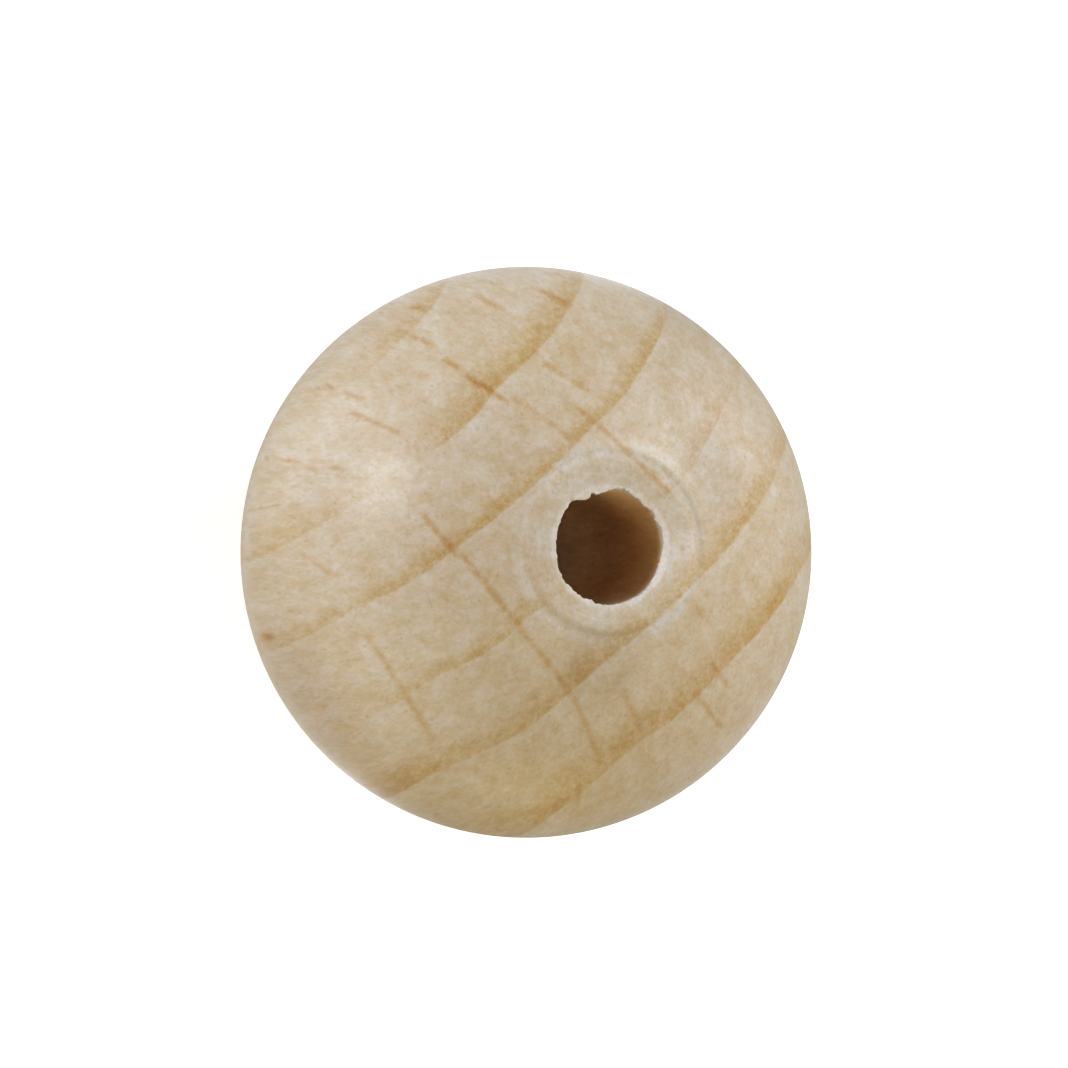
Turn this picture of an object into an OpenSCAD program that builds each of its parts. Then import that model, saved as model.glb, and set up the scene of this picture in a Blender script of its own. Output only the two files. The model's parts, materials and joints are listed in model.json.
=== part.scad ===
// Turned wooden ball with a bore right through it, along the grain.
// The bore lies on Z and the ball's centre is the origin. Each end round the bore
// is turned back a little, which leaves a flat ring that the ball can stand on.

/* [Ball] */
// Diameter of the ball
ball_d = 25; // [20:0.5:40]

/* [Bore] */
// Diameter of the bore
bore_d = 5; // [3:0.1:8]
// Rounding of the bore's edge at each mouth
mouth_round = 0.08; // [0.04:0.01:0.12]

/* [Turned ends] */
// Width of the dished land between the bore and the standing ring
land_w = 0.9; // [0.5:0.05:1.5]
// How far the land falls from the standing ring to the mouth
land_dish = 0.08; // [0.04:0.01:0.15]
// How far the standing ring lies under the ball's round
ring_depth = 0.12; // [0.08:0.01:0.18]
// Width from the land's outer edge to the middle of the groove
ring_w = 0.75; // [0.65:0.01:1.2]
// Rounding of the standing ring's outer edge
ring_round = 0.35; // [0.1:0.05:0.5]
// Radius of the groove's section
groove_r = 0.7; // [0.5:0.02:0.9]
// Depth of the groove under the ball's round
groove_depth = 0.06; // [0.04:0.01:0.12]
// Rounding where the groove runs out into the ball's round
shoulder_round = 0.8; // [0.2:0.1:1.2]

/* [Torn edge] */
// Longest run of a splinter torn out of the upper mouth, measured down the bore
splinter_run = 0.6; // [0.3:0.05:1]

/* [Hidden] */
$fn = 180;

WOOD = [0.79, 0.70, 0.56];

ball_r = ball_d / 2;
bore_r = bore_d / 2;

// Height of the ball's round at a distance from the axis
function round_z(rho) = sqrt(ball_r * ball_r - rho * rho);

// The flat ring starts where the dished land ends
land_r = bore_r + land_w;
ring_z = round_z(land_r) - ring_depth;
mouth_z = ring_z - land_dish;

// Centre of the groove's section
groove_rho = land_r + ring_w;
groove_z = round_z(groove_rho) - groove_depth + groove_r;

// Centre of the ring's rounding, which touches the ring's flat and the groove
ring_c_z = ring_z - ring_round;
ring_c_rho = groove_rho - sqrt(pow(groove_r + ring_round, 2) - pow(groove_z - ring_c_z, 2));

// Centre of the shoulder's rounding, which touches the groove and the ball's round
groove_l = norm([groove_rho, groove_z]);
shoulder_l = ball_r - shoulder_round;
shoulder_along = (pow(shoulder_l, 2) - pow(groove_r + shoulder_round, 2) + pow(groove_l, 2)) / (2 * groove_l);
shoulder_across = sqrt(pow(shoulder_l, 2) - pow(shoulder_along, 2));
shoulder_rho = (shoulder_along * groove_rho + shoulder_across * groove_z) / groove_l;
shoulder_z = (shoulder_along * groove_z - shoulder_across * groove_rho) / groove_l;

// Centre of the mouth's rounding, which touches the bore and the dished land
dish_angle = atan(land_dish / land_w);
mouth_c_rho = bore_r + mouth_round;
mouth_c_z = mouth_z + mouth_round * tan(dish_angle) - mouth_round / cos(dish_angle);

// Every cut at a turned end reaches up to here, clear of the ball
top_z = ball_d;

// Splinters torn out of the upper mouth: angle round the bore, width, reach past the bore's wall
SPLINTERS = [
    [122, 0.55, 0.20],
    [92, 0.40, 0.12],
    [24, 0.44, 0.10],
    [150, 0.30, 0.07],
    [233, 0.34, 0.08],
    [302, 0.44, 0.09]
];

// Section of the dished land, cut down from the flat ring to the mouth
module land_relief() {
    polygon([[0, mouth_z], [bore_r, mouth_z], [land_r, ring_z], [land_r, top_z], [0, top_z]]);
}

// Section of the small rounding at the mouth of the bore
module mouth_relief() {
    difference() {
        polygon([
            [bore_r, mouth_c_z],
            [mouth_c_rho, mouth_c_z],
            [mouth_c_rho - mouth_round * sin(dish_angle), mouth_c_z + mouth_round * cos(dish_angle)],
            [bore_r, mouth_z + mouth_round]
        ]);
        translate([mouth_c_rho, mouth_c_z]) circle(r = mouth_round);
    }
}

// Section of the flat ring, the groove beside it and the shoulder outside the groove
module ring_relief() {
    reach = top_z / shoulder_l;
    difference() {
        polygon([
            [land_r, ring_z],
            [ring_c_rho, ring_z],
            [ring_c_rho, ring_c_z],
            [groove_rho, groove_z],
            [shoulder_rho, shoulder_z],
            [shoulder_rho * reach, shoulder_z * reach],
            [land_r, top_z]
        ]);
        translate([ring_c_rho, ring_c_z]) circle(r = ring_round);
        translate([shoulder_rho, shoulder_z]) circle(r = shoulder_round);
    }
    translate([groove_rho, groove_z]) circle(r = groove_r);
}

// Half section of the ball, from the bore's wall outwards
module turned_section() {
    difference() {
        intersection() {
            circle(r = ball_r);
            translate([bore_r, -ball_r]) square([ball_r, ball_d]);
        }
        for (end = [0, 1]) mirror([0, end]) {
            land_relief();
            mouth_relief();
            ring_relief();
        }
    }
}

// A splinter's bed: a V across the mouth's edge that runs out down the bore
module splinter_bed(angle, width, reach) {
    run_angle = atan(reach / splinter_run);
    rotate([0, 0, angle])
        translate([bore_r + reach, 0, mouth_z])
            rotate([0, run_angle, 0])
                linear_extrude(height = 2 * splinter_run, center = true)
                    polygon([[0, 0], [-2 * reach, -width], [-2 * reach, width]]);
}

// The whole ball, turned in one piece
module ball() {
    color(WOOD)
        difference() {
            rotate_extrude() turned_section();
            for (s = SPLINTERS) splinter_bed(s[0], s[1], s[2]);
        }
}

ball();
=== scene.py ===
# Finish, floor, light and camera for a turned wooden ball with a bore through it
import json
import math

import bpy
import numpy as np
from mathutils import Matrix, Vector


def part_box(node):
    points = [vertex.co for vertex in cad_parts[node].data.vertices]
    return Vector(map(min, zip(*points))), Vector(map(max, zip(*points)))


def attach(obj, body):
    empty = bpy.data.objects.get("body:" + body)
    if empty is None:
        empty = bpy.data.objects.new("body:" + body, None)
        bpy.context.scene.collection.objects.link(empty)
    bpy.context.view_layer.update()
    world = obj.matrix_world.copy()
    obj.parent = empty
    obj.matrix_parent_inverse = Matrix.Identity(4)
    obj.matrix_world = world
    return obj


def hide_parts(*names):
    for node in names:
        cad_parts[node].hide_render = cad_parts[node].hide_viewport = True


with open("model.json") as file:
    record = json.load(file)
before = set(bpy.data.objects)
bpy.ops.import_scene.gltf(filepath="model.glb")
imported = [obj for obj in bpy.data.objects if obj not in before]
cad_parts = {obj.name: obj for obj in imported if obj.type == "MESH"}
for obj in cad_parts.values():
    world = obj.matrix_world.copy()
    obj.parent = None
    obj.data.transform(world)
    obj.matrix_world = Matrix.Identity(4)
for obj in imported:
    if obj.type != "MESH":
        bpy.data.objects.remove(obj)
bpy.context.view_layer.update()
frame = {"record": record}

mm = 0.001  # one millimetre in metres


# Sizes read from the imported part, in mm

def mountNamed(name):
    return next(m for m in frame["record"]["mounts"] if m["name"] == name)


low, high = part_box("ball")
ballRadius = (high.x - low.x) / 2 / mm
boreRadius = mountNamed("bore")["dims"]["r_mm"]
ringHeight = mountNamed("upper_ring")["pos_m"][2] / mm  # the flat ring that the ball stands on


# The turned form: one half profile, spun round the bore

turnedEnd = {  # mm
    "landWidth": 0.9,  # dished land between the bore and the flat ring
    "landDish": 0.08,  # its fall towards the mouth
    "ringWidth": 0.75,  # from the land's edge to the middle of the groove
    "ringRound": 0.35,  # outer edge of the flat ring
    "grooveRadius": 0.7,
    "grooveDepth": 0.06,  # under the ball's round
    "shoulderRound": 0.8,  # where the groove runs out
    "mouthRound": 0.08,
}

meshSteps = {  # points along each stretch of the half profile
    "round": 58,
    "shoulder": 12,
    "groove": 11,
    "ringEdge": 10,
    "flatRing": 3,
    "land": 22,
    "mouth": 6,
    "boreNearMouth": 20,
    "boreDeep": 8,
    "turn": 320,  # points round the ball
}


def linePoints(start, end, steps, crowd=1.0):
    share = np.linspace(0, 1, steps + 1)[1:] ** crowd  # crowd above 1 packs points near the start
    return [(start[0] + (end[0] - start[0]) * s, start[1] + (end[1] - start[1]) * s) for s in share]


def arcPoints(centre, radius, fromAngle, toAngle, steps):
    angles = np.linspace(fromAngle, toAngle, steps + 1)[1:]
    return [(centre[0] + radius * math.cos(a), centre[1] + radius * math.sin(a)) for a in angles]


def angleTo(start, end):
    return math.atan2(end[1] - start[1], end[0] - start[0])


def halfProfile(size, steps):
    # from the equator, over the turned end and down the bore to its middle, as (distance from the axis, height)
    landRadius = boreRadius + size["landWidth"]
    mouthHeight = ringHeight - size["landDish"]
    groove = size["grooveRadius"]
    grooveRho = landRadius + size["ringWidth"]
    grooveC = (grooveRho, math.sqrt(ballRadius**2 - grooveRho**2) - size["grooveDepth"] + groove)
    edge = size["ringRound"]
    edgeRise = grooveC[1] - (ringHeight - edge)
    edgeC = (grooveRho - math.sqrt((groove + edge) ** 2 - edgeRise**2), ringHeight - edge)
    shoulder = size["shoulderRound"]
    reach = math.hypot(*grooveC)
    along = ((ballRadius - shoulder) ** 2 - (groove + shoulder) ** 2 + reach**2) / (2 * reach)
    across = math.sqrt((ballRadius - shoulder) ** 2 - along**2)
    shoulderC = (
        (along * grooveC[0] + across * grooveC[1]) / reach,
        (along * grooveC[1] - across * grooveC[0]) / reach,
    )
    tilt = math.atan2(size["landDish"], size["landWidth"])
    mouth = size["mouthRound"]
    mouthC = (boreRadius + mouth, mouthHeight + mouth * math.tan(tilt) - mouth / math.cos(tilt))
    landEnd = (mouthC[0] - mouth * math.sin(tilt), mouthC[1] + mouth * math.cos(tilt))
    origin = (0.0, 0.0)
    toShoulder = angleTo(origin, shoulderC)
    nearMouth = (boreRadius, mouthC[1] - 1.4)
    points = [(ballRadius, 0.0)]
    points += arcPoints(origin, ballRadius, 0, toShoulder, steps["round"])
    points += arcPoints(shoulderC, shoulder, toShoulder, angleTo(shoulderC, grooveC), steps["shoulder"])
    points += arcPoints(grooveC, groove, angleTo(grooveC, shoulderC), angleTo(grooveC, edgeC), steps["groove"])
    points += arcPoints(edgeC, edge, angleTo(edgeC, grooveC), math.pi / 2, steps["ringEdge"])
    points += linePoints((edgeC[0], ringHeight), (landRadius, ringHeight), steps["flatRing"])
    points += linePoints((landRadius, ringHeight), landEnd, steps["land"])
    points += arcPoints(mouthC, mouth, math.pi / 2 + tilt, math.pi, steps["mouth"])
    points += linePoints((boreRadius, mouthC[1]), nearMouth, steps["boreNearMouth"], 1.3)
    points += linePoints(nearMouth, (boreRadius, 0.0), steps["boreDeep"])
    return np.array(points), landRadius, mouthHeight


# Torn wood at the two mouths

tornMouth = {
    "upper": [  # angle round the bore in degrees, and how far the mouth's edge stands in from the bore's wall in mm
        (-173, 0.11), (-160, 0.02), (-148, 0.0), (-137, 0.04), (-124, 0.01), (-114, 0.09), (-108, 0.0), (-94, 0.01),
        (-80, 0.05), (-69, 0.07), (-62, 0.03), (-54, 0.05), (-45, 0.11), (-38, 0.14), (-25, 0.17), (-12, 0.13),
        (2, 0.06), (13, 0.05), (22, 0.11), (26, 0.16), (30, 0.07), (34, 0.04), (42, 0.14), (46, 0.17), (51, 0.08),
        (61, 0.07), (66, 0.02), (71, -0.06), (80, 0.0), (90, 0.16), (95, 0.19), (101, 0.22), (103, 0.1), (106, 0.08),
        (108, 0.26), (112, 0.24), (118, 0.17), (127, -0.1), (134, -0.03), (147, 0.03), (163, 0.09),
    ],
    "lower": [
        (-170, 0.06), (-140, 0.10), (-122, 0.02), (-100, 0.07), (-70, 0.04), (-54, -0.05), (-46, 0.08), (-20, 0.05),
        (6, 0.09), (30, 0.03), (40, -0.07), (49, 0.10), (80, 0.05), (104, 0.12), (131, 0.04), (150, 0.09), (172, 0.05),
    ],
    "raggedness": 0.036,  # mm, the fine unevenness
    "run": 0.55,  # mm, how far the torn edge reaches down the bore
    "seed": 11,
}


def ripple(angles, rng, first, last, fall=0.6):
    # a closed wave round the bore, about 1 high, from several waves that fit the turn a whole number of times
    total = np.zeros_like(angles)
    for waves in range(first, last + 1):
        total += np.cos(waves * angles + rng.uniform(0, 2 * math.pi)) * rng.uniform(0.4, 1) / waves**fall
    return total / np.abs(total).max()


def tornEdge(angles, points, rng):
    # how far the mouth's edge stands out from the bore's true wall, in mm, at each angle
    turns, insets = np.array(sorted(points)).T
    edge = -np.interp(np.degrees(angles), turns, insets, period=360)
    edge += tornMouth["raggedness"] * (ripple(angles, rng, 20, 90, 0.3) + np.abs(ripple(angles, rng, 30, 110, 0.1)))
    run = tornMouth["run"] * (1 + 0.5 * ripple(angles, rng, 3, 24))
    return edge, run


def ballMesh():
    half, landRadius, mouthHeight = halfProfile(turnedEnd, meshSteps)
    lower = half[::-1][1:-1] * (1, -1)  # the same profile mirrored, without the two shared points
    loop = np.concatenate([half, lower])
    turns = meshSteps["turn"]
    angles = np.arange(turns) * 2 * math.pi / turns
    rho = np.repeat(loop[:, :1], turns, axis=1)
    height = np.repeat(loop[:, 1:], turns, axis=1)
    rng = np.random.default_rng(tornMouth["seed"])
    for side, mouth in ((1, tornMouth["upper"]), (-1, tornMouth["lower"])):
        edge, run = tornEdge(angles, mouth, rng)
        onSide = height * side > 0
        depth = np.clip(mouthHeight - height * side, 0, None)
        onWall = onSide & (rho < boreRadius + 1e-6)
        onLand = onSide & (rho >= boreRadius + 1e-6) & (rho < landRadius)
        down = np.clip(1 - depth / run, 0, 1) ** 1.4
        outward = np.clip((landRadius - rho) / (landRadius - boreRadius), 0, 1)
        rho = rho + np.where(onWall, edge * down, 0) + np.where(onLand & (height * side > 11), edge * outward, 0)
        crushed = np.clip(edge, 0, None) * np.clip(outward, 0, 1) ** 4
        height = height - side * np.where(onLand & (height * side > 11), crushed * 0.35, 0)
    x, y = rho * np.cos(angles), rho * np.sin(angles)
    vertices = np.stack([x, y, height], axis=-1).reshape(-1, 3) * mm
    rows, columns = len(loop), turns
    row = np.arange(rows)[:, None]
    column = np.arange(columns)[None, :]
    nextRow, nextColumn = (row + 1) % rows, (column + 1) % columns
    corners = [row * columns + column, row * columns + nextColumn, nextRow * columns + nextColumn, nextRow * columns + column]
    faces = np.stack(corners, axis=-1).reshape(-1, 4)
    mesh = bpy.data.meshes.new("ballWood")
    mesh.from_pydata(vertices.tolist(), [], faces.tolist())
    mesh.shade_smooth()
    mesh.update()
    return mesh


# Arithmetic on shader sockets

class Wire:
    def __init__(self, tree, plug):
        self.tree = tree
        self.plug = plug

    def make(self, kind, settings=None, values=None, out=0):
        node = self.tree.nodes.new(kind)
        for name, value in (settings or {}).items():
            if name == "stops":
                fillRamp(node.color_ramp, value)
            else:
                setattr(node, name, value)
        for key, value in (values or {}).items():
            if isinstance(value, Wire):
                self.tree.links.new(value.plug, node.inputs[key])
            else:
                node.inputs[key].default_value = value
        return Wire(self.tree, node.outputs[out])

    def combine(self, operation, first, second):
        pair = (first, second)
        if all(v.plug.type == "VALUE" if isinstance(v, Wire) else not hasattr(v, "__len__") for v in pair):
            return self.make("ShaderNodeMath", {"operation": operation}, {0: first, 1: second})
        pair = [v if isinstance(v, Wire) or hasattr(v, "__len__") else (v, v, v) for v in pair]
        return self.make("ShaderNodeVectorMath", {"operation": operation}, {0: pair[0], 1: pair[1]})

    def __add__(self, other):
        return self.combine("ADD", self, other)

    def __radd__(self, other):
        return self.combine("ADD", other, self)

    def __sub__(self, other):
        return self.combine("SUBTRACT", self, other)

    def __rsub__(self, other):
        return self.combine("SUBTRACT", other, self)

    def __mul__(self, other):
        return self.combine("MULTIPLY", self, other)

    def __rmul__(self, other):
        return self.combine("MULTIPLY", other, self)

    def __truediv__(self, other):
        return self.combine("DIVIDE", self, other)

    def __rtruediv__(self, other):
        return self.combine("DIVIDE", other, self)

    def __pow__(self, other):
        return self.combine("POWER", self, other)

    def __abs__(self):
        return self.make("ShaderNodeMath", {"operation": "ABSOLUTE"}, {0: self})

    def smaller(self, other):
        return self.combine("MINIMUM", self, other)

    def larger(self, other):
        return self.combine("MAXIMUM", self, other)

    def ramp(self, start, end, low=0.0, high=1.0):  # a soft step from low at start to high at end
        settings = {"interpolation_type": "SMOOTHSTEP"}
        return self.make("ShaderNodeMapRange", settings, {0: self, 1: start, 2: end, 3: low, 4: high})

    def stain(self, strength, losses):  # takes these shares of red, green and blue away where strength is 1
        return self * (1.0 - strength * losses)

    def nearTo(self, point, reach):  # 1 close to the point, 0 beyond the reach
        apart = self.make("ShaderNodeVectorMath", {"operation": "DISTANCE"}, {0: self, 1: point}, 1)
        return apart.ramp(reach, reach * 0.25)

    def noise(self, scale, detail=2.0, roughness=0.5, distortion=0.0, out=0):
        values = {"Vector": self, "Scale": scale, "Detail": detail, "Roughness": roughness, "Distortion": distortion}
        return self.make("ShaderNodeTexNoise", {"noise_dimensions": "3D"}, values, out)

    def cells(self, scale, out=0, feature="F1", randomness=1.0):
        values = {"Vector": self, "Scale": scale, "Randomness": randomness}
        return self.make("ShaderNodeTexVoronoi", {"voronoi_dimensions": "3D", "feature": feature}, values, out)


def fillRamp(ramp, stops):
    while len(ramp.elements) > 1:
        ramp.elements.remove(ramp.elements[-1])
    ramp.elements[0].position, ramp.elements[0].color = stops[0]
    for position, colour in stops[1:]:
        ramp.elements.new(position).color = colour


def paint(red, green, blue):  # a colour as seen on a screen, 0 to 255, as the linear light that shaders use
    parts = [v / 255 for v in (red, green, blue)]
    return [v / 12.92 if v <= 0.04045 else ((v + 0.055) / 1.055) ** 2.4 for v in parts]


# The wood: rings about a far pith, rays that point at it, pores along the bore

grain = {
    "pith": (-28.5, 38.3),  # mm, where the tree's middle crosses the ball's middle plane
    "pithLean": (-0.151, 0.040),  # its drift for each mm up the bore
    "wave": (1.3, 0.14),  # waves in the rings: scale per mm, height in mm
    "roughEdge": (4.5, 0.1),
    "edge": 0.14,  # mm over which late wood gives way to the next ring's pale wood
}

woodTone = {
    "base": paint(195, 176, 148),
    "losses": {  # shares of red, green and blue that each mark, painted shade or painted light takes away at its full strength; below 0 adds
        "fleck": (0.125, 0.135, 0.245),
        "pore": (0.11, 0.12, 0.14),
        "dapple": (0.05, 0.11, 0.25),
        "blush": (0.10, 0.06, 0.16),
        "mottle": (0.12, 0.23, 0.47),
        "ring": (0.12, 0.26, 0.54),
        "outside": (-0.02, -0.04, -0.09),
        "ray": (0.12, 0.3, 0.55),
        "spindle": (0.14, 0.28, 0.45),
        "land": (-0.02, -0.08, -0.21),
        "turning": (0.06, 0.09, 0.14),
        # painted shade along the outer edge of the flat ring
        "ringEdge": (0.03, 0.05, 0.07),
        "polished": (-0.03, -0.08, -0.18),
        "rim": (-0.13, -0.2, -0.34),
        # painted shade: the bore's wall darker and browner near the mouth
        "scorched": (0.02, 0.29, 0.63),
        # painted light: the bore's wall paler deeper in, the deepest part brighter than the wood can be
        "deep": (-0.3, -0.3, -0.2),
        "deepest": (-0.62, -1.15, -2.2),
        # painted light on the bore's wall near the mouth
        "lit": (-0.38, -0.46, -0.42),
    },
}

growthRings = [  # around the pith: angle in degrees, radius of the edge in mm, darkness, width of the band in mm
    [(-180, 32.4, 0.5, 0.8), (180, 32.4, 0.5, 0.8)],
    [(-66, 36.7, 0.2, 0.8), (-60, 36.75, 0.2, 0.9), (-56, 36.75, 0.2, 1.0), (-54, 36.78, 0.45, 1.0),
     (-51.7, 36.67, 0.65, 1.1), (-50.8, 36.74, 0.75, 1.0), (-48.5, 36.72, 0.8, 0.9), (-47, 36.63, 0.7, 0.8),
     (-44, 36.6, 0.5, 0.8)],
    [(-69, 41.05, 0.5, 1.2), (-66.3, 41.03, 0.6, 1.3), (-64.8, 41.0, 0.55, 1.3), (-61.2, 40.98, 0.4, 1.1),
     (-59.5, 41.0, 0.15, 1.0), (-56.4, 41.05, 0.0, 1.0), (-55, 41.05, 0.9, 1.2), (-53, 41.1, 1.0, 1.25),
     (-51.6, 41.0, 1.0, 1.3), (-50.8, 40.85, 1.1, 1.3), (-49.5, 40.9, 1.0, 1.3), (-48, 41.0, 0.95, 1.3),
     (-44.5, 41.15, 0.95, 1.25), (-42.9, 41.15, 1.0, 1.2), (-40, 41.1, 0.7, 1.1)],
    [(-68, 44.97, 0.5, 0.65), (-67, 44.95, 0.5, 0.7), (-64.3, 44.85, 0.5, 0.7), (-61.5, 45.05, 0.85, 0.7),
     (-60.5, 45.02, 1.2, 0.75), (-59.6, 45.0, 1.25, 0.8), (-58.2, 44.9, 1.1, 0.8), (-56.5, 44.9, 1.2, 0.85),
     (-54.9, 44.9, 1.0, 0.85), (-52.5, 44.9, 0.95, 0.7), (-50.5, 44.9, 0.75, 0.7), (-48.8, 44.9, 0.85, 0.85),
     (-48, 44.9, 0.9, 0.9), (-46, 45.1, 0.75, 0.85), (-44.5, 45.14, 1.05, 0.8), (-43, 45.05, 1.05, 0.8),
     (-41.5, 45.02, 1.15, 0.8), (-39.3, 45.0, 0.5, 0.7)],
    [(-68, 49.35, 0.25, 0.7), (-66, 49.35, 0.3, 0.7), (-64.6, 49.3, 0.55, 0.7), (-64, 49.25, 0.6, 0.65),
     (-63.4, 49.08, 0.5, 0.6), (-61, 49.35, 0.65, 0.7), (-60, 49.36, 1.0, 0.75), (-59.1, 49.36, 0.85, 0.75),
     (-58.3, 49.2, 0.8, 0.7), (-57.7, 49.13, 0.9, 0.75), (-57, 49.15, 0.6, 0.7), (-55, 49.2, 0.4, 0.7),
     (-50, 49.3, 0.35, 0.7), (-46.1, 49.4, 0.35, 0.75), (-44.7, 49.3, 0.85, 0.8), (-43.2, 49.12, 0.85, 0.8),
     (-41.9, 49.04, 0.45, 0.75), (-39.8, 49.04, 0.4, 0.6)],
    [(-68, 53.0, 1.1, 1.2), (-66.2, 53.03, 1.35, 1.3), (-64.8, 52.8, 1.0, 1.2), (-63.4, 52.9, 0.55, 1.0),
     (-62.4, 53.0, 0.5, 0.9), (-61.5, 53.13, 0.7, 1.0), (-60.5, 53.16, 0.9, 1.1), (-59, 53.06, 1.0, 1.1),
     (-57.7, 52.9, 1.1, 1.15), (-56.3, 52.8, 1.2, 1.15), (-54.5, 52.8, 0.75, 1.1), (-52, 52.85, 0.75, 1.0),
     (-49.5, 52.9, 0.8, 1.0), (-47.8, 52.92, 0.9, 1.1), (-46.4, 52.94, 0.85, 1.15), (-44.5, 52.88, 0.95, 1.2),
     (-43, 52.8, 0.85, 1.2), (-41.7, 52.6, 0.7, 1.1)],
    [(-68, 56.6, 0.7, 1.4), (-64, 56.3, 1.1, 1.4), (-62, 57.4, 1.0, 1.3), (-60, 57.1, 1.0, 1.5),
     (-58.6, 56.9, 0.85, 1.5), (-57.2, 56.7, 0.95, 1.5), (-56.1, 56.6, 1.0, 1.4), (-55.3, 56.8, 0.95, 1.35),
     (-53.9, 56.82, 0.95, 1.35), (-52.5, 56.72, 0.9, 1.3), (-51.1, 56.55, 0.95, 1.3), (-49.7, 56.7, 1.0, 1.3),
     (-47.8, 56.65, 1.25, 1.25), (-45.9, 56.5, 0.95, 1.2), (-44.5, 56.46, 0.85, 1.2)],
    [(-180, 60.6, 0.8, 0.9), (180, 60.6, 0.8, 0.9)],
]

rays = [  # angle about the pith at its middle, lean in degrees per mm, start and end radius in mm, darkness
    {"angle": -58.65, "lean": 0.06, "span": (42.7, 45.6), "dark": 1.0},
    {"angle": -58.1, "lean": 0.07, "span": (45.0, 53.8), "dark": 0.75},
    {"angle": -57.95, "lean": -0.12, "span": (53.0, 56.6), "dark": 0.6},
    {"angle": -64.65, "lean": 0.48, "span": (41.5, 43.7), "dark": 0.5},
    {"angle": -64.3, "lean": 0.08, "span": (45.9, 51.8), "dark": 0.65},
    {"angle": -51.0, "lean": 0.33, "span": (36.7, 38.2), "dark": 0.75},
    {"angle": -51.05, "lean": 0.27, "span": (38.3, 39.6), "dark": 1.1},
    {"angle": -50.85, "lean": 0.26, "span": (39.4, 41.9), "dark": 1.2},
    {"angle": -49.85, "lean": 0.17, "span": (41.3, 45.0), "dark": 0.5},
    {"angle": -49.1, "lean": 0.9, "span": (35.8, 36.9), "dark": 1.2},
    {"angle": -45.95, "lean": 0.13, "span": (37.6, 39.3), "dark": 0.9},
    {"angle": -44.4, "lean": 0.3, "span": (37.6, 38.7), "dark": 0.5},
    {"angle": -43.0, "lean": 0.19, "span": (39.5, 41.5), "dark": 1.1},
    {"angle": -41.3, "lean": 0.6, "span": (39.4, 40.7), "dark": 0.5},
    {"angle": -47.92, "lean": 0.02, "span": (43.7, 49.7), "dark": 0.85},
    {"angle": -46.95, "lean": 0.17, "span": (41.4, 44.3), "dark": 0.6},
    {"angle": -57.85, "lean": 1.8, "span": (35.8, 36.7), "dark": 0.8},
    {"angle": -56.9, "lean": 0.95, "span": (36.7, 37.8), "dark": 0.7},
    {"angle": -57.2, "lean": 0.6, "span": (37.5, 39.9), "dark": 0.85},
    {"angle": -62.45, "lean": 1.5, "span": (37.6, 38.5), "dark": 1.1},
    {"angle": -61.9, "lean": 0.7, "span": (38.4, 39.2), "dark": 1.1},
    {"angle": -61.15, "lean": 1.4, "span": (38.4, 39.2), "dark": 0.6},
    {"angle": -60.8, "lean": 1.2, "span": (38.9, 39.8), "dark": 0.9},
    {"angle": -65.0, "lean": 3.0, "span": (38.9, 39.7), "dark": 1.0},
    {"angle": -68.3, "lean": 0.0, "span": (43.9, 44.7), "dark": 2.2},
    {"angle": -42.6, "lean": 0.0, "span": (44.8, 49.2), "dark": 0.3},
    {"angle": -43.0, "lean": 0.0, "span": (50.0, 52.4), "dark": 0.25},
    {"angle": -50.7, "lean": 0.0, "span": (53.2, 55.0), "dark": 0.4},
    {"angle": -51.63, "lean": 0.0, "span": (55.9, 57.8), "dark": 0.7},
    {"angle": -52.9, "lean": 0.15, "span": (56.4, 59.0), "dark": 0.7},
    {"angle": -55.9, "lean": -0.1, "span": (54.2, 56.6), "dark": 0.6},
    {"angle": -59.5, "lean": -0.4, "span": (56.4, 57.9), "dark": 0.6},
]

paleRays = [  # the same, for the rays that show paler than the late wood round them
    {"angle": -51.35, "lean": -0.15, "span": (54.8, 56.6), "dark": 0.6},
    {"angle": -43.2, "lean": 0.1, "span": (47.6, 49.4), "dark": 0.5},
    {"angle": -58.3, "lean": 0.07, "span": (46.6, 52.6), "dark": 0.35},
    {"angle": -54.6, "lean": 0.0, "span": (54.6, 56.8), "dark": 0.3},
]

rayForm = {"halfWidth": 0.25, "taper": 0.5}  # mm


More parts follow.
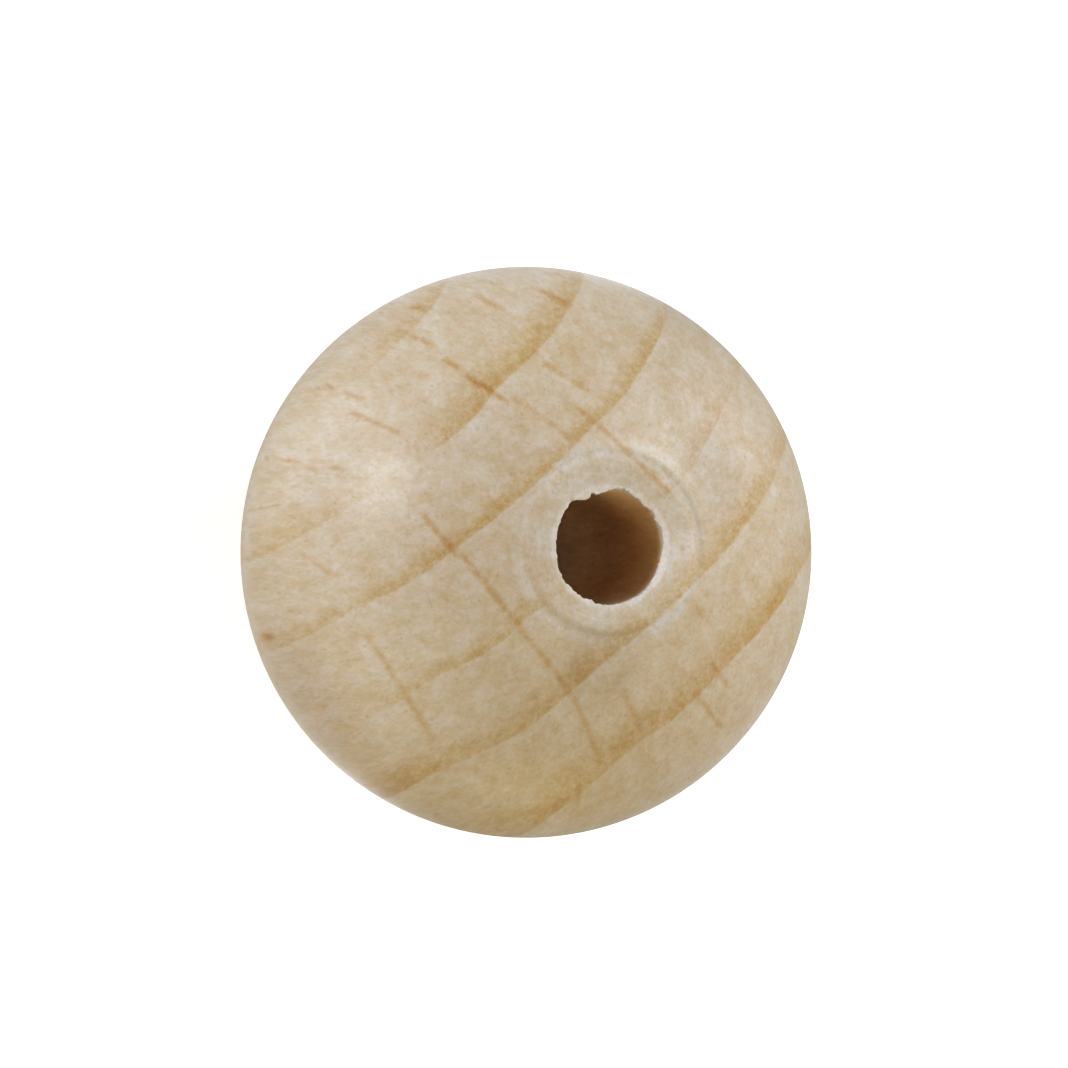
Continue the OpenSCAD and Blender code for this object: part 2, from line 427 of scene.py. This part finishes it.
stainsAndPaintedShade = [  # soft patches, partly stains in the wood and partly painted shade and painted light: place and reach in mm, and shares of red, green and blue taken away; below 0 adds
    {"at": (2.15, 2.15, 11.9), "reach": 0.75, "losses": (0.02, 0.04, 0.06)},
    {"at": (3.1, -0.9, 11.9), "reach": 2.0, "losses": (-0.08, -0.09, -0.15)},
    {"at": (2.5, 2.5, 11.85), "reach": 0.5, "losses": (-0.1, -0.12, -0.2)},
    {"at": (-3.3, -0.9, 11.9), "reach": 1.1, "losses": (0.03, 0.09, 0.17)},
    {"at": (-2.3, -2.4, 11.9), "reach": 1.1, "losses": (0.03, 0.06, 0.12)},
    {"at": (-3.1, 2.3, 11.7), "reach": 0.9, "losses": (0.04, 0.09, 0.15)},
    {"at": (-5.4, 2.8, 10.9), "reach": 7.0, "losses": (0.07, 0.08, 0.08)},
    {"at": (2.8, -1.0, 12.2), "reach": 3.0, "losses": (-0.06, -0.08, -0.12)},
    {"at": (5.3, 3.0, 10.9), "reach": 2.8, "losses": (0.1, 0.1, 0.08)},
    {"at": (-0.7, -5.1, 11.4), "reach": 2.8, "losses": (0.14, 0.16, 0.19)},
    {"at": (-0.6, 8.8, 8.8), "reach": 3.0, "losses": (0.03, 0.06, 0.13)},
    {"at": (-10.4, 3.5, 6.1), "reach": 4.0, "losses": (0.04, 0.05, 0.05)},
    {"at": (-8.5, -5.5, 7.3), "reach": 5.0, "losses": (-0.05, -0.07, -0.1)},
    {"at": (-12.4, -1.3, 1.5), "reach": 4.0, "losses": (0.06, 0.09, 0.16)},
    {"at": (-2.2, 2.2, 11.9), "reach": 2.5, "losses": (-0.06, -0.07, -0.09)},
    {"at": (-11.2, -5.6, 1.0), "reach": 5.0, "losses": (0.12, 0.16, 0.2)},
    {"at": (-7.0, -10.2, 1.5), "reach": 4.5, "losses": (0.05, 0.11, 0.27)},
    {"at": (0.6, 2.43, 11.6), "reach": 0.35, "losses": (-0.25, -0.35, -0.5)},
]

paintedBoreLight = {"at": (1.9, 2.0, 9.9), "reach": 3.8}  # mm, painted light on the bore's wall near the mouth


def alongRing(ring, angle):
    # the ring's edge radius in mm, its darkness and its band's width at each angle about the pith
    middle = ring[0][1]
    stops = [((turn + 180) / 360, (0.5 + (radius - middle) / 2, dark / 2, band / 2, 1)) for turn, radius, dark, band in ring]
    mixed = angle.make("ShaderNodeValToRGB", {"stops": stops}, {0: (angle + 180.0) / 360.0})
    edge, dark, band = [mixed.make("ShaderNodeSeparateColor", {}, {0: mixed}, out) for out in range(3)]
    return (edge - 0.5) * 2.0 + middle, dark * 2.0, band * 2.0


def ringBands(radius, angle):
    # how dark the late wood is, and how pale the wood just outside each ring's edge
    dark, pale = 0.0, 0.0
    for ring in growthRings:
        edge, strength, band = alongRing(ring, angle)
        past = radius - edge
        rise = past.ramp(band * -1.15, band * -0.5) * 0.6 + past.ramp(band * -0.6, -0.15) * 0.4
        dark = rise * past.ramp(0.0, grain["edge"], 1.0, 0.0) * strength + dark
        pale = past.ramp(0.0, grain["edge"]) * past.ramp(0.4, 0.9, 1.0, 0.0) * strength + pale
    return dark, pale


def rayLines(rays, radius, angle, wander):
    # the thin lines that point at the pith
    lines = 0.0
    for ray in rays:
        start, end = ray["span"]
        middle = (start + end) / 2
        across = abs((angle - ray["angle"] - (radius - middle) * ray["lean"]) * (radius * math.radians(1)) + wander)
        along = radius.ramp(start, start + rayForm["taper"]) * radius.ramp(end - rayForm["taper"], end, 1.0, 0.0)
        lines = (across.ramp(0.0, rayForm["halfWidth"], 1.0, 0.0) * along * ray["dark"]).larger(lines)
    return lines


def woodFinish():
    material = bpy.data.materials.new("turnedBeech")
    material.use_nodes = True
    tree = material.node_tree
    tree.nodes.clear()
    losses = woodTone["losses"]
    place = Wire(tree, tree.nodes.new("ShaderNodeTexCoord").outputs["Object"]) * (1 / mm)
    x, y, z = [place.make("ShaderNodeSeparateXYZ", {}, {0: place}, out) for out in range(3)]
    dx = x - (z * grain["pithLean"][0] + grain["pith"][0])
    dy = y - (z * grain["pithLean"][1] + grain["pith"][1])
    radius = (dx * dx + dy * dy) ** 0.5
    angle = dx.make("ShaderNodeMath", {"operation": "ARCTAN2"}, {0: dy, 1: dx}) * math.degrees(1)
    fromAxis = (x * x + y * y) ** 0.5
    height = abs(z)

    # pores and fibres: far longer along the bore than across it
    fibre = place * (1.0, 1.0, 0.12)
    fleck = fibre.noise(4.2, 3.0, 0.75, 0.6).ramp(0.3, 0.7)
    blush = fibre.noise(2.6, 2.0, 0.7, 0.0, 1)
    poreTone = fibre.make("ShaderNodeSeparateColor", {}, {0: fibre.cells(4.2, 1)})
    pores = fibre.cells(4.2).ramp(0.12, 0.4, 1.0, 0.0) * poreTone.ramp(0.3, 0.9)
    dapple = (place * (1.0, 1.0, 0.2)).noise(2.1, 2.0, 0.6, 0.3).ramp(0.28, 0.72)
    mottle = (place * (1.0, 1.0, 0.3)).noise(0.9, 3.0, 0.8).ramp(0.25, 0.75)
    wave = ((place * (1.0, 1.0, 0.3)).noise(grain["wave"][0], 2.0, 0.5) - 0.5) * grain["wave"][1]
    rough = (fibre.noise(grain["roughEdge"][0], 2.0, 0.6) - 0.5) * grain["roughEdge"][1]
    patch = (place * (1.0, 1.0, 0.25)).noise(0.55, 2.0, 0.6).ramp(0.3, 0.7, 0.8, 1.2)
    broken = fleck * 0.5 + 0.7

    dark, pale = ringBands(radius + wave + rough, angle)
    wander = (fibre.noise(1.2, 2.0) - 0.5) * 0.16
    lines = rayLines(rays, radius, angle, wander) * z.ramp(-3.0, 0.0)
    paleLines = rayLines(paleRays, radius, angle, wander) * z.ramp(-3.0, 0.0)

    # short ray ends all over the sides, tallest where the surface faces the pith or away from it
    sideways = place.make("ShaderNodeCombineXYZ", {}, {0: angle * 0.75, 1: z * 0.24, 2: radius * 0.02})
    spindle = sideways.cells(1.0)
    spindleTone = spindle.make("ShaderNodeSeparateColor", {}, {0: sideways.cells(1.0, out=1)})
    spindles = spindle.ramp(0.07, 0.17, 1.0, 0.0) * spindleTone.ramp(0.2, 0.8) * z.ramp(6.0, 2.0)

    wood = place * 0.0 + woodTone["base"]
    wood = wood.stain(fleck - 0.5, losses["fleck"])
    wood = wood.stain(pores, losses["pore"])
    wood = wood * (1.0 - (blush - 0.5) * losses["blush"])
    wood = wood.stain(mottle - 0.5, losses["mottle"])
    wood = wood.stain(dapple - 0.5, losses["dapple"])
    wood = wood.stain(pale, losses["outside"])
    wood = wood.stain(dark * broken * patch * (1.0 - paleLines), losses["ring"])
    wood = wood.stain(lines * (fleck * 0.3 + 0.85), losses["ray"])
    wood = wood.stain(spindles, losses["spindle"])

    # the turned end is burnished pale with faint turning marks; the bore's wall is painted darker and browner near the
    # mouth as painted shade, and paler deeper in and in one patch near the mouth as painted light
    end = height.ramp(11.0, 11.4)
    turned = place.make("ShaderNodeMath", {"operation": "ARCTAN2"}, {0: y, 1: x}) * 0.12
    marks = place.make("ShaderNodeCombineXYZ", {}, {0: fromAxis, 1: turned, 2: z * 0.05}).noise(7.0, 2.0, 0.6)
    wood = wood.stain(end * fromAxis.ramp(4.9, 4.2) * (marks - 0.5) * 2.0, losses["turning"])
    wood = wood.stain(end * fromAxis.ramp(4.6, 3.6), losses["land"])
    # painted shade along the outer edge of the flat ring
    wood = wood.stain(end * fromAxis.ramp(3.5, 3.7) * fromAxis.ramp(3.95, 3.75), losses["ringEdge"])
    wood = wood.stain(end * fromAxis.ramp(3.8, 4.05) * fromAxis.ramp(4.5, 4.2), losses["polished"])
    wood = wood.stain(end * fromAxis.ramp(2.78, 2.6), losses["rim"])
    # soft patches: stains in the wood, and painted shade and painted light
    for stainAndShadePatch in stainsAndPaintedShade:
        wood = wood.stain(place.nearTo(stainAndShadePatch["at"], stainAndShadePatch["reach"]), stainAndShadePatch["losses"])
    wall = fromAxis.ramp(2.75, 2.55)
    inside = wall * (height + fleck * 0.3).ramp(11.9, 11.0)
    # painted shade on the bore's wall near the mouth
    wood = wood.stain(inside, losses["scorched"])
    # painted light, paler deeper in the bore
    wood = wood.stain(wall * height.ramp(10.5, 4.0), losses["deep"])
    wood = wood.stain(wall * height.ramp(6.0, 0.0), losses["deepest"])
    # painted light on the bore's wall near the mouth
    wood = wood.stain(inside * place.nearTo(paintedBoreLight["at"], paintedBoreLight["reach"]), losses["lit"])
    burnish = end * fromAxis.ramp(4.0, 4.3) * fromAxis.ramp(5.0, 4.7)
    dull = end * fromAxis.ramp(3.2, 3.4) * fromAxis.ramp(4.05, 3.9)

    relief = fleck * -0.6 - dark * 0.2
    bump = relief.make("ShaderNodeBump", {}, {"Strength": 0.3, "Distance": 0.00002, "Height": relief})
    shader = tree.nodes.new("ShaderNodeBsdfPrincipled")
    output = tree.nodes.new("ShaderNodeOutputMaterial")
    tree.links.new(wood.plug, shader.inputs["Base Color"])
    tree.links.new((fleck * 0.1 + inside * 0.4 + dull * 0.25 + 0.45 - burnish * 0.08).plug, shader.inputs["Roughness"])
    tree.links.new(bump.plug, shader.inputs["Normal"])
    shader.inputs["Specular IOR Level"].default_value = 0.45
    tree.links.new((0.12 - dull * 0.12 + burnish * 0.12).plug, shader.inputs["Coat Weight"])
    shader.inputs["Coat Roughness"].default_value = 0.24
    shader.inputs["Sheen Weight"].default_value = 0.45
    shader.inputs["Sheen Roughness"].default_value = 0.3
    tree.links.new(shader.outputs["BSDF"], output.inputs["Surface"])
    return material


wood = woodFinish()
ball = bpy.data.objects.new("turned_ball", ballMesh())
ball.data.materials.append(wood)
bpy.context.scene.collection.objects.link(ball)
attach(ball, "root")
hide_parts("ball")
print("ball made:", len(ball.data.polygons), "faces")


# Camera: looks down on the upper mouth, as the photograph does

photoView = {
    "frame": (1068, 1068),  # pixels
    "ballCentre": (526.0, 552.3),  # pixels
    "ballRadius": 285.6,  # pixels
    "boreTurn": 17.8,  # degrees between the bore and the line of sight
    "boreRise": 4.0,  # degrees that the bore's image rises to the right
    "distance": 600.0,  # mm
    "sensor": 36.0,  # mm
}


def photoAxes(view):
    turn, rise = math.radians(view["boreTurn"]), math.radians(view["boreRise"])
    right = Vector((math.cos(turn) * math.cos(rise), -math.sin(rise), math.sin(turn) * math.cos(rise)))
    up = Vector((math.cos(turn) * math.sin(rise), math.cos(rise), math.sin(turn) * math.sin(rise)))
    back = Vector((-math.sin(turn), 0.0, math.cos(turn)))
    return right, up, back


def photoCamera(view):
    right, up, back = photoAxes(view)
    distance = view["distance"]
    perMm = view["ballRadius"] / ballRadius * math.sqrt(1 - (ballRadius / distance) ** 2)
    aside = (view["frame"][0] / 2 - view["ballCentre"][0]) / perMm
    above = (view["ballCentre"][1] - view["frame"][1] / 2) / perMm
    data = bpy.data.cameras.new("photoCamera")
    data.sensor_width = view["sensor"]
    data.lens = view["sensor"] * distance * perMm / view["frame"][0]
    data.clip_start, data.clip_end = 0.01, 10.0
    camera = bpy.data.objects.new("photoCamera", data)
    camera.matrix_world = Matrix((
        (right.x, up.x, back.x, 0),
        (right.y, up.y, back.y, 0),
        (right.z, up.z, back.z, 0),
        (0, 0, 0, 1),
    ))
    camera.location = (back * distance + right * aside + up * above) * mm
    bpy.context.scene.collection.objects.link(camera)
    bpy.context.scene.camera = camera
    return camera


photoCamera(photoView)


# Pale floor and soft lights

softLights = {
    "distance": 0.35,  # m
    "lamps": [  # size in m; degrees round the picture from its right, and degrees towards the camera
        {"name": "upperLeft", "size": 0.12, "round": 154, "near": 23, "watts": 0.88, "colour": (0.89, 0.92, 1)},
        {"name": "upperRight", "size": 0.2, "round": 34, "near": 22, "watts": 0.75, "colour": (0.86, 0.91, 1)},
        {"name": "leftRim", "size": 0.2, "round": 150, "near": -15, "watts": 0.28, "colour": (0.76, 0.85, 1)},
        {"name": "rightRim", "size": 0.2, "round": 30, "near": -15, "watts": 0.28, "colour": (0.87, 0.88, 1)},
        {"name": "lowLeft", "size": 0.25, "round": 210, "near": 12, "watts": 0.09, "colour": (0.96, 1, 0.86)},
        {"name": "lowFront", "size": 0.3, "round": 300, "near": 38, "watts": 0.42, "colour": (1, 0.89, 0.65)},
        {"name": "bottomRim", "size": 0.2, "round": 270, "near": -15, "watts": 0.18, "colour": (1, 0.75, 0.2)},
    ],
}

surroundings = {
    "floorSize": 12.0,  # m
    "floorColour": (0.9, 0.9, 0.9, 1),
    "floorGlow": 0.55,
    "skyColour": (1, 0.98, 0.89, 1),
    "skyStrength": 0.36,
}


def softbox(lamp):
    right, up, back = photoAxes(photoView)
    turn, near = math.radians(lamp["round"]), math.radians(lamp["near"])
    direction = (right * math.cos(turn) + up * math.sin(turn)) * math.cos(near) + back * math.sin(near)
    data = bpy.data.lights.new(lamp["name"], "AREA")
    data.shape = "DISK"
    data.size = lamp["size"]
    data.energy = lamp["watts"]
    data.color = lamp["colour"]
    light = bpy.data.objects.new(lamp["name"], data)
    light.location = direction * softLights["distance"]
    light.rotation_mode = "QUATERNION"
    light.rotation_quaternion = direction.to_track_quat("Z", "Y")
    light.visible_camera = False
    bpy.context.scene.collection.objects.link(light)
    return light


def paleFloor():
    size = surroundings["floorSize"]
    level = low.z
    mesh = bpy.data.meshes.new("paleFloor")
    corners = [(-size, -size, level), (size, -size, level), (size, size, level), (-size, size, level)]
    mesh.from_pydata(corners, [], [(0, 1, 2, 3)])
    floor = bpy.data.objects.new("paleFloor", mesh)
    material = bpy.data.materials.new("paleFloor")
    material.use_nodes = True
    shader = material.node_tree.nodes["Principled BSDF"]
    shader.inputs["Base Color"].default_value = surroundings["floorColour"]
    shader.inputs["Roughness"].default_value = 0.8
    shader.inputs["Emission Color"].default_value = (1, 1, 1, 1)
    shader.inputs["Emission Strength"].default_value = surroundings["floorGlow"]
    mesh.materials.append(material)
    floor.visible_diffuse = False  # its glow only keeps the floor white
    floor.visible_glossy = False
    floor.visible_shadow = False  # a light table: light from below comes through it
    bpy.context.scene.collection.objects.link(floor)
    return floor


def paleSky():
    world = bpy.data.worlds.new("paleSky")
    world.use_nodes = True
    background = world.node_tree.nodes["Background"]
    background.inputs["Color"].default_value = surroundings["skyColour"]
    background.inputs["Strength"].default_value = surroundings["skyStrength"]
    bpy.context.scene.world = world


for lamp in softLights["lamps"]:
    softbox(lamp)
paleFloor()
paleSky()
bpy.context.scene.view_settings.view_transform = "Standard"
print("camera, lights and floor placed")
